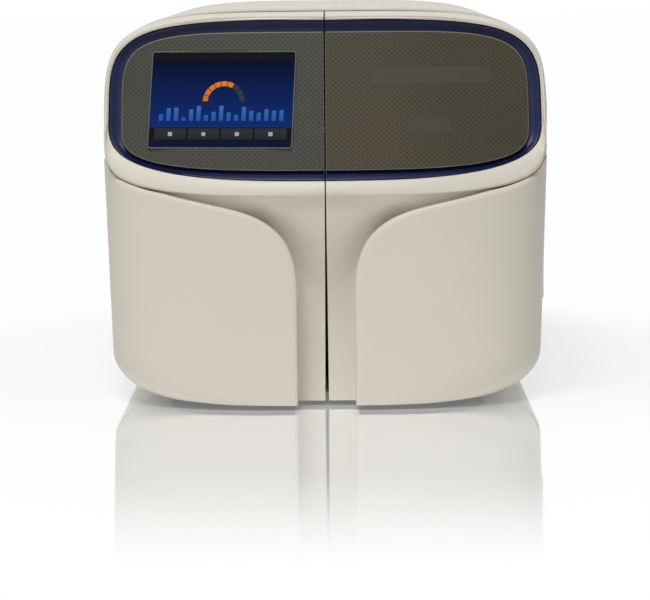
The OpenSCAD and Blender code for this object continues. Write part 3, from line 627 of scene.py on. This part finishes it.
def plate_loop(inset, depth):
    """The plate's outline once round: down its curve and back up beside the seam."""
    lens = PLATE.inset(inset)
    seam_x = SEAM_TOP + inset * EDGE_AT_SEAM
    top, foot = lens.mid_z + lens.rise, lens.mid_z - lens.fall
    curve = [lens_pt(lens, turn) for turn in spread(LENS_TURNS, 121)[1:-1]]
    points = [(seam_x, top)] + [(max(seam_x, x), z) for x, z in curve] + [(seam_x, foot)]
    points += [(seam_x, z) for z in np.linspace(foot, top, 40)[1:-1]]
    return [(x, FRONT_Y + face_d(x, z) + depth, z) for x, z in points]


def plate_field(rows=60, cols=40):
    """The plate's surface inside its edge, in rows from the seam outwards."""
    inset, depth = PLATE_EDGE[-1]
    lens = PLATE.inset(inset)
    grid = []
    for share in np.sin(np.linspace(0, math.pi / 2, rows)):
        x = SEAM_TOP + (lens.reach - SEAM_TOP) * share
        shown_x = max(x, SEAM_TOP + inset * EDGE_AT_SEAM)
        zs = np.linspace(lens_low(lens, x), lens_high(lens, x), cols)
        grid.append([(shown_x, FRONT_Y + face_d(x, z) + depth, z) for z in zs])
    return grid


def fascia(name, node, body, mat, mirror):
    """Film plate with a chamfered edge coloured light as a painted highlight."""
    edge = loft([plate_loop(inset, depth) for inset, depth in PLATE_EDGE])
    add_piece(name + "_edge", edge, body, FASCIA_EDGE_PAINTED_HIGHLIGHT, mirror=mirror)
    return add_piece(name, skin_mesh(plate_field(), FILM, -1), body, mat, node, mirror, 30)


def label_place(name, x, z, width, height):
    """A smooth bare label place that follows the fascia's bow."""
    grid = [[(px, FRONT_Y + face_d(px, pz) + PLATE_D - LABEL_PROUD, pz)
             for pz in np.linspace(z - height / 2, z + height / 2, 7)]
            for px in np.linspace(x - width / 2, x + width / 2, 25)]
    add_piece(name, skin_mesh(grid, LABEL_THICK, -1), "door", FASCIA_PATCH, sharp=30)


def cut_opening(ob, width, height, radius):
    """Cuts the screen's rounded opening through a plate."""
    front, behind = -30, 40
    outline = rounded(width, height, radius)
    loops = [[on_screen(u, v, depth) for u, v in outline] for depth in (front, behind)]
    verts, faces = loft(loops, caps=True)
    cutter = new_object("cutter", [[c / 1000 for c in point] for point in verts], faces)
    opening = ob.modifiers.new("opening", "BOOLEAN")
    opening.operation, opening.object, opening.solver = "DIFFERENCE", cutter, "EXACT"
    bpy.context.view_layer.update()
    cut = bpy.data.meshes.new_from_object(ob.evaluated_get(bpy.context.evaluated_depsgraph_get()))
    ob.modifiers.remove(opening)
    ob.data = cut
    bpy.data.objects.remove(cutter)


# ---- wings ----------------------------------------------------------------
WING_THICK = 1.2
# Angles on the sweep, closer where its edge turns fast.
SWEEP_TURNS = [0, 4, 8, 12, 16, 20, 24, 28, 33, 38, 44, 50, 56, 63, 70, 80, 90]
# The lines round the corner start near x = 150.
CORNER_FROM = math.degrees(math.atan(150 / FRONT_D))
# Past this turn round the corner, the roll at the top turns from backwards to inwards.
INWARD_FROM = 50.0
# An upright line of the wing stands at an x across the front, or at a turn round the corner.
WING_COLS = [("x", sweep_x(turn)) for turn in spread(SWEEP_TURNS, 64)]
WING_COLS += [("turn", turn) for turn in np.linspace(CORNER_FROM, 90, 70)]
# A line's rows open out towards its top; the last few lie these distances below the free edge.
ROW_POWER, EDGE_ZONE = 1.25, 5.8
EDGE_ROWS = np.array([5.0, 4.4, 3.6, 2.6, 1.8, 1.2, 0.7, 0.3, 0.0])


def col_at(col, z):
    """x and depth of an upright line at a height."""
    kind, value = col
    if kind == "x":
        return value, plan_d(value, half_w(z) + SKIN)
    return plan_pt(value, half_w(z) + SKIN)


def wing_edge(steps=160):
    """The wing's free edge: up beside the scoop, round the sweep and out below the visor."""
    end_x, spacing, below = 250.0, 1.6, 10.0
    xs = WING_X + (end_x - WING_X) * np.linspace(0, 1, steps) ** spacing
    upright = np.linspace(bottom_z(WING_X) - below, WING_Z, 25)[:-1]
    return np.array([(WING_X, z) for z in upright] + [(x, wing_top_z(x)) for x in xs])


EDGE_LINE = wing_edge()


def lip_drop(x, z):
    """How far the skin rolls back near its free edge: a small round, and a soft band before it."""
    a, b = EDGE_LINE[:-1], EDGE_LINE[1:]
    run = b - a
    share = np.clip(((np.array([x, z]) - a) * run).sum(1) / np.maximum(1e-9, (run * run).sum(1)), 0, 1)
    away = np.sqrt(((a + run * share[:, None] - np.array([x, z])) ** 2).sum(1).min())
    k, soft = max(0.0, LIP - away), LIP_BAND - away
    band = LIP_SLOPE * (soft + math.sqrt(soft * soft + LIP_SOFT))
    return LIP - math.sqrt(max(0.0, LIP * LIP - k * k)) + band


def wing_col(col, flange=False, steps=60):
    """One upright line of the skin, rolled over at its top; flange makes the return beside the scoop."""
    z0 = bottom_z(col_at(col, 0)[0])
    z1 = wing_top_z(col_at(col, WING_TOP)[0])
    turned = max(0.0, (col[1] - INWARD_FROM) / (90 - INWARD_FROM)) if col[0] == "turn" else 0.0
    turn = turned * math.pi / 2
    rise = np.linspace(0, 1, steps) ** ROW_POWER * (z1 - z0 - EDGE_ZONE)
    line = []
    for z in z0 + np.concatenate([rise, z1 - z0 - EDGE_ROWS]):
        x, depth = col_at(col, z)
        drop = LIP + FLANGE_IN if flange else lip_drop(x, z)
        line.append((x - drop * math.sin(turn), FRONT_Y + depth + drop * math.cos(turn), z))
    x, y, z = line[-1]
    back = 0 if flange else LIP + FLANGE_BACK
    line.append((x - back * math.sin(turn), y + back * math.cos(turn), z))
    return line


# ---- scooped panels between the wings and the seam ------------------------
# The panel runs between two lines that share a parameter: 0 at the foot, 1 at the outer end.
UPRIGHT_S, SWEPT_S, SEAM_S = 0.36, 0.8, 0.62
PANEL_X, PANEL_GAP = 198.0, 0.25
PANEL_THICK = 2.5
# It starts tucked in behind the wing's edge, and stands a little forward over its first share.
TUCK, TUCK_BACK, FORWARD, FORWARD_SHARE = 1.8, 4.0, 2.0, 0.2


def edge_pt(s):
    """Point of the panel's line along the wing."""
    if s < UPRIGHT_S:
        return np.array([WING_X, bottom_z(0) + (WING_Z - bottom_z(0)) * s / UPRIGHT_S])
    if s < SWEPT_S:
        x = sweep_x((s - UPRIGHT_S) / (SWEPT_S - UPRIGHT_S) * 90)
    else:
        x = SWEEP_X + (PANEL_X - SWEEP_X) * (s - SWEPT_S) / (1 - SWEPT_S)
    return np.array([x, wing_top_z(x)])


def seam_pt(s):
    """Point of the panel's line up the seam and along the visor."""
    if s < SEAM_S:
        z = bottom_z(0) + (CREST_Z - PANEL_GAP - bottom_z(0)) * s / SEAM_S
        return np.array([seam_half(z), z])
    x = SEAM_TOP + (PANEL_X - SEAM_TOP) * (s - SEAM_S) / (1 - SEAM_S)
    return np.array([x, lens_low(CREST, x) - PANEL_GAP])


def panel_row(s):
    """Across the panel: from behind the wing's edge, over the scoop, to a return at the seam."""
    edge, seam = edge_pt(s), seam_pt(s)
    outward = np.array([1.0, 0]) if s < UPRIGHT_S else (edge - seam) / max(1e-9, np.linalg.norm(edge - seam))
    start = edge + outward * TUCK
    behind = plan_d(start[0], half_w(start[1]) + SKIN) + SKIN + 1
    row = [(start, behind), (start, max(behind + 1, scoop_at(*start) - TUCK_BACK))]
    for share in np.concatenate([[0.03, 0.06, 0.1, 0.15], np.linspace(0.2, 1, 30)]):
        point = start + (seam - start) * share
        forward = FORWARD * (1 - min(1.0, share / FORWARD_SHARE))
        row.append((point, max(behind + 2, scoop_at(*point) - forward)))
    for back in (1.5, 12):
        row.append((seam, max(behind + 2, scoop_at(*seam)) + back))
    return place(row)


def wings_and_panels():
    """The wing shell and scooped panel of both halves."""
    lines = [wing_col(WING_COLS[0], flange=True)] + [wing_col(col) for col in WING_COLS]
    wing = skin_mesh(lines, WING_THICK, -1)
    steps = np.concatenate([np.linspace(0, UPRIGHT_S, 30)[:-1], np.linspace(UPRIGHT_S, SEAM_S, 40)[:-1],
                            np.linspace(SEAM_S, 1, 50)])
    panel = skin_mesh([panel_row(s) for s in steps], PANEL_THICK, -1)
    cream = SLOTS["cream_paint"]
    for half, body, mirror in HALVES:
        add_piece(half + "_shell", wing, body, cream, half + "_wing", mirror, 70)
        add_piece(half + "_scoop", panel, body, cream, half + "_centre_panel", mirror, 60)


def seam_walls():
    """Upright walls that close the halves' seam sides, from just behind the face to the liner."""
    thick, aside, behind_visor, behind_scoop, least = 2.2, 0.15, 15.5, 3, 13
    below, above = np.linspace(PAN_TOP + 1.5, CREST_Z - 3, 40), np.linspace(CREST_Z, CREST_TOP - 4, 24)
    loops = []
    for z in np.concatenate([below, above]):
        x = seam_half(z) + aside
        front = max(scoop_at(x, z) + behind_scoop, least) if z < CREST_Z else face_d(0, z) + behind_visor
        corners = ((x, front), (x, LINER_D), (x + thick, LINER_D), (x + thick, front))
        loops.append([(cx, FRONT_Y + depth, z) for cx, depth in corners])
    wall, cream = loft(loops, caps=True), SLOTS["cream_paint"]
    for half, body, mirror in HALVES:
        add_piece(half + "_seam_wall", wall, body, cream, mirror=mirror, sharp=30)


BUMPS = ((47.5, 160.5), (45.5, 148.5), (46.0, 133.0))


def door_bump(name, x, z, rings=7, around=20):
    """A small oval bump on the door's wing."""
    wide, high, proud = 2.1, 1.2, 0.55
    y = FRONT_Y + plan_d(x, half_w(z) + SKIN) + 0.15
    loops = []
    for a in np.linspace(0, math.pi / 2, rings):
        turns = [math.radians(360 / around * step) for step in range(around)]
        loops.append([(x + wide * math.cos(a) * math.cos(b), y - proud * math.sin(a),
                       z + high * math.cos(a) * math.sin(b)) for b in turns])
    add_piece(name, loft(loops), "door", SLOTS["cream_paint"])


# ---- cover ----------------------------------------------------------------
# Turns round the cover's outline, closer where it curves most.
COVER_TURNS = [0, 2, 5, 9, 14, 20, 27, 34, 42, 50, 58, 66, 73, 79, 84, 88,
               91, 98, 106, 114, 122, 130, 136, 142, 148, 154, 160, 167, 174, 180]
# The cover's rounded ends: distance from the end, and how far the outline draws in there.
COVER_FRONT = ((0.0, 3.6), (0.3, 2.4), (0.9, 1.3), (1.8, 0.5), (3.0, 0.0))
COVER_REAR = ((8.0, 0.0), (5.0, 0.3), (2.4, 1.2), (0.8, 2.6), (0.0, 4.0))
FULL_DRAW_Z, DRAW_LIMIT = 200.0, -0.3


def cover_row(point, side):
    """From front to back along the cover at one outline point."""
    stations = [(COVER_D + way, draw) for way, draw in COVER_FRONT]
    stations += [(y, 0.0) for y in np.linspace(COVER_D + 14, BODY_D - 18, 24)]
    stations += [(BODY_D - way, draw) for way, draw in COVER_REAR]
    share = max(DRAW_LIMIT, (point[1] - FULL_DRAW_Z) / (BODY_H - FULL_DRAW_Z))
    return [(side * point[0] * (1 - draw / COVER.reach), FRONT_Y + y, point[1] - draw * share)
            for y, draw in stations]


def cover():
    """The cover over the sides and the top, with its lower corners turned in."""
    turns = spread(COVER_TURNS, 110)
    rows = [cover_row(cover_pt(t), -1) for t in turns[:0:-1]] + [cover_row(cover_pt(t), 1) for t in turns]
    add_piece("cover_shell", skin_mesh(rows, SKIN, -1), "cabinet", SLOTS["cream_cover"],
              "main_cover", bevel=1.0)


# ---- screen ---------------------------------------------------------------
# How far the lit shapes lie above the glass, so that each shows over the last.
FIELD_LIFT, BAR_LIFT, COLUMN_LIFT, TILE_LIFT, KEY_LIFT = 0.06, 0.1, 0.12, 0.14, 0.18


def decal(name, points, lift, mat):
    """A flat lit shape, lifted a little off the glass."""
    verts = [on_screen(u, v, GLASS_D - lift) for u, v in points]
    add_piece(name, (verts, [tuple(range(len(verts)))]), "cabinet", mat)


def lit_mats():
    """Colours of the generic picture on the screen."""
    mid = SCREEN_Z / 1000
    return {
        "field": glow_mat("lit_field", srgb(6, 14, 40), srgb(16, 44, 112), mid - 0.04, mid + 0.04),
        "bar": glow_mat("lit_bar", srgb(22, 23, 27)),
        "tile": glow_mat("lit_tile", srgb(54, 55, 60), srgb(36, 37, 42), mid - 0.05, mid - 0.03),
        "navy": glow_mat("lit_navy", srgb(14, 22, 54)),
        "orange": glow_mat("lit_orange", srgb(226, 132, 30), srgb(200, 104, 20), mid - 0.01, mid + 0.03),
        "sky": glow_mat("lit_sky", srgb(70, 128, 196), srgb(36, 78, 150), mid - 0.03, mid + 0.01),
        "pale": glow_mat("lit_pale", srgb(168, 172, 180)),
    }


def screen_backdrop(lit):
    """The picture's field, its bars and a row of tiles, each with a small key shape."""
    wide, foot = SCREEN_W + 1, -SCREEN_H / 2
    decal("screen_field", rounded(wide, SCREEN_H + 1, 1.5), FIELD_LIFT, lit["field"])
    decal("screen_top_bar", shifted(rounded(wide, 10, 0.6), 0, SCREEN_H / 2 - 4.5), BAR_LIFT, lit["bar"])
    decal("screen_low_bar", shifted(rounded(wide, 18, 0.4), 0, foot + 15), BAR_LIFT, lit["bar"])
    decal("screen_strip", shifted(rounded(wide, 6, 0.4), 0, foot + 2.8), BAR_LIFT, lit["navy"])
    for k, key_radius in enumerate((0.2, 2.4, 1.2, 0.2)):
        u, v = 40 * (k - 1.5), foot + 16
        decal(f"screen_tile_{k}", shifted(rounded(38, 14, 1.6), u, v), TILE_LIFT, lit["tile"])
        decal(f"screen_key_{k}", shifted(rounded(5, 5, key_radius), u, v), KEY_LIFT, lit["pale"])


def screen_chart(lit):
    """A gauge of nine arcs over a row of columns, as any instrument might show."""
    segments, filled, sweep, gap = 9, 6, 20, 1.2
    for k in range(segments):
        start = 180 - sweep * k
        segment = arc(2, -2, 19, 25, start - gap, start - sweep + gap)
        decal(f"screen_gauge_{k}", segment, TILE_LIFT, lit["orange"] if k < filled else lit["tile"])
    for k in range(17):
        height = 4 + 9 * abs(math.sin(0.9 * k + 0.5)) + 3 * (k % 3)
        column = shifted(rounded(5, height, 0.8), 9 * (k - 8), -26 + height / 2)
        decal(f"screen_column_{k}", column, COLUMN_LIFT, lit["sky"])


def screen_surround():
    """Slim raised edge round the glass, rolled over towards the fascia."""
    loops = []
    for grow, depth in ((2.0, 13.0), (2.0, 7.6), (1.8, 7.2), (1.4, 7.05), (1.0, 7.3), (0.85, 8.0),
                        (0.85, 13.0)):
        outline = rounded(SCREEN_W + 2 * grow, SCREEN_H + 2 * grow, 2 + grow)
        loops.append([on_screen(u, v, depth) for u, v in outline])
    add_piece("screen_surround", loft(loops), "cabinet", FRAME_LIGHT, "screen_frame", sharp=60)


def screen_pane():
    """The dark glass over the display, which the lit shapes lie on."""
    outline = rounded(SCREEN_W + 1.8, SCREEN_H + 1.8, 2.8)
    pane = loft([[on_screen(u, v, depth) for u, v in outline] for depth in (GLASS_D, PANE_BACK_D)], caps=True)
    add_piece("screen_pane", pane, "cabinet", SLOTS["screen_glass"], "touch_screen")


# ---- the pieces -----------------------------------------------------------
visor()
fascia("door_plate", "door_fascia", "door", FASCIA_RIGHT, False)
wings_and_panels()
seam_walls()
for label, spot in LABEL_PLACES.items():
    label_place("label_place_" + label, *spot)
for number, spot in enumerate(BUMPS, 1):
    door_bump(f"door_bump_{number}", *spot)
cover()
left_plate = fascia("left_plate", "left_fascia", "cabinet", FASCIA_LEFT_PAINTED_REFLECTION, True)
cut_opening(left_plate, SCREEN_W + 2 * OPENING_GAP, SCREEN_H + 2 * OPENING_GAP, OPENING_R)
LIT = lit_mats()
screen_backdrop(LIT)
screen_surround()
screen_pane()
screen_chart(LIT)


# ---- floor, light and camera, in metres -----------------------------------
AMBIENT = 0.2
LAMP_AIM = (0, -0.3, 0.2)
FLOOR_SIZE, FLOOR_Y = 30, 6
FLOOR_COLOUR, MIRROR_COLOUR = (0.94, 0.94, 0.94, 1), (0.98, 0.985, 1.0, 1)
# The floor's white comes up between two distances from the object, and its mirror between two depths.
LIFT_NEAR, LIFT_FAR, LIFT_LEAST = 0.37, 0.68, 0.4
MIRROR_FROM, MIRROR_TO, MIRROR_MOST = -1.2, -0.7, 0.6


def floor_material():
    """Pale floor that keeps the shadow, goes white to the camera away from it, and mirrors softly."""
    mat, tree, shader = new_material("studio_floor")
    tree.nodes.remove(shader)
    spot = add_node(tree, "NewGeometry").outputs["Position"]
    away = add_node(tree, "VectorMath", {0: spot}, operation="LENGTH").outputs["Value"]
    seen = add_node(tree, "LightPath").outputs["Is Camera Ray"]
    rise = ranged(tree, away, LIFT_NEAR, LIFT_FAR, LIFT_LEAST, 1.0, "SMOOTHSTEP")
    pale = add_node(tree, "BsdfDiffuse", {"Color": FLOOR_COLOUR}).outputs["BSDF"]
    white = add_node(tree, "Emission", {"Strength": 1.0}).outputs["Emission"]
    ground = add_node(tree, "MixShader", {"Fac": calc(tree, "MULTIPLY", seen, rise), 1: pale, 2: white})
    mirror = add_node(tree, "BsdfGlossy", {"Roughness": 0.05, "Color": MIRROR_COLOUR}).outputs["BSDF"]
    depth = add_node(tree, "SeparateXYZ", {0: spot}).outputs["Y"]
    share = ranged(tree, depth, MIRROR_FROM, MIRROR_TO, 0.0, MIRROR_MOST, "SMOOTHSTEP")
    both = add_node(tree, "MixShader", {"Fac": share, 1: ground.outputs["Shader"], 2: mirror})
    feed(tree, tree.nodes["Material Output"], {"Surface": both.outputs["Shader"]})
    return mat


def studio_floor():
    """A wide plain floor, which rides on no body."""
    bpy.ops.mesh.primitive_plane_add(size=FLOOR_SIZE, location=(0, FLOOR_Y, 0))
    floor = bpy.context.object
    floor.name = "studio_floor"
    floor.data.materials.append(floor_material())


def studio_world():
    """Dim white light all round, seen as full white by the camera, in reflections and through glass."""
    world = bpy.data.worlds.new("studio")
    bpy.context.scene.world = world
    world.use_nodes = True
    tree = world.node_tree
    rays = add_node(tree, "LightPath").outputs
    seen = calc(tree, "MAXIMUM", rays["Is Camera Ray"], rays["Is Glossy Ray"])
    seen = calc(tree, "MAXIMUM", seen, rays["Is Transmission Ray"])
    strength = ranged(tree, seen, to_min=AMBIENT)
    feed(tree, tree.nodes["Background"], {"Strength": strength, "Color": (1, 1, 1, 1)})


def lamp(name, where, width, height, energy):
    """A white area lamp, turned towards the front of the object."""
    data = bpy.data.lights.new(name, "AREA")
    data.shape, data.size, data.size_y = "RECTANGLE", width, height
    data.energy = energy
    ob = bpy.data.objects.new(name, data)
    ob.location = where
    ob.rotation_euler = (Vector(LAMP_AIM) - Vector(where)).to_track_quat("-Z", "Y").to_euler()
    bpy.context.collection.objects.link(ob)


# The photograph's camera: its focal length and width in pixels, its place, and its angles in degrees.
FOCAL_PX, PHOTO_PX, SENSOR_W = 2591, 650, 36
CAM_PLACE = (0.0148, -3.381, 0.5246)
CAM_YAW, CAM_PITCH, CAM_ROLL = 0.31, 7.478, 0.5


def camera():
    """The camera that takes the same view as the photograph."""
    data = bpy.data.cameras.new("camera")
    data.sensor_width, data.sensor_fit = SENSOR_W, "HORIZONTAL"
    data.lens = FOCAL_PX * SENSOR_W / PHOTO_PX
    data.clip_start, data.clip_end = 0.1, 60
    ob = bpy.data.objects.new("camera", data)
    ob.location = CAM_PLACE
    turn = (Matrix.Rotation(math.radians(CAM_YAW), 3, "Z")
            @ Matrix.Rotation(math.radians(90 - CAM_PITCH), 3, "X")
            @ Matrix.Rotation(math.radians(-CAM_ROLL), 3, "Z"))
    ob.rotation_euler = turn.to_euler()
    bpy.context.collection.objects.link(ob)
    bpy.context.scene.camera = ob


studio_floor()
studio_world()
lamp("key", (-0.55, -2.05, 4.35), 1.8, 1.8, 150)
lamp("fill", (-0.8, -4.6, 1.1), 1.8, 1.2, 12)
camera()
bpy.context.scene.view_settings.view_transform = "Standard"
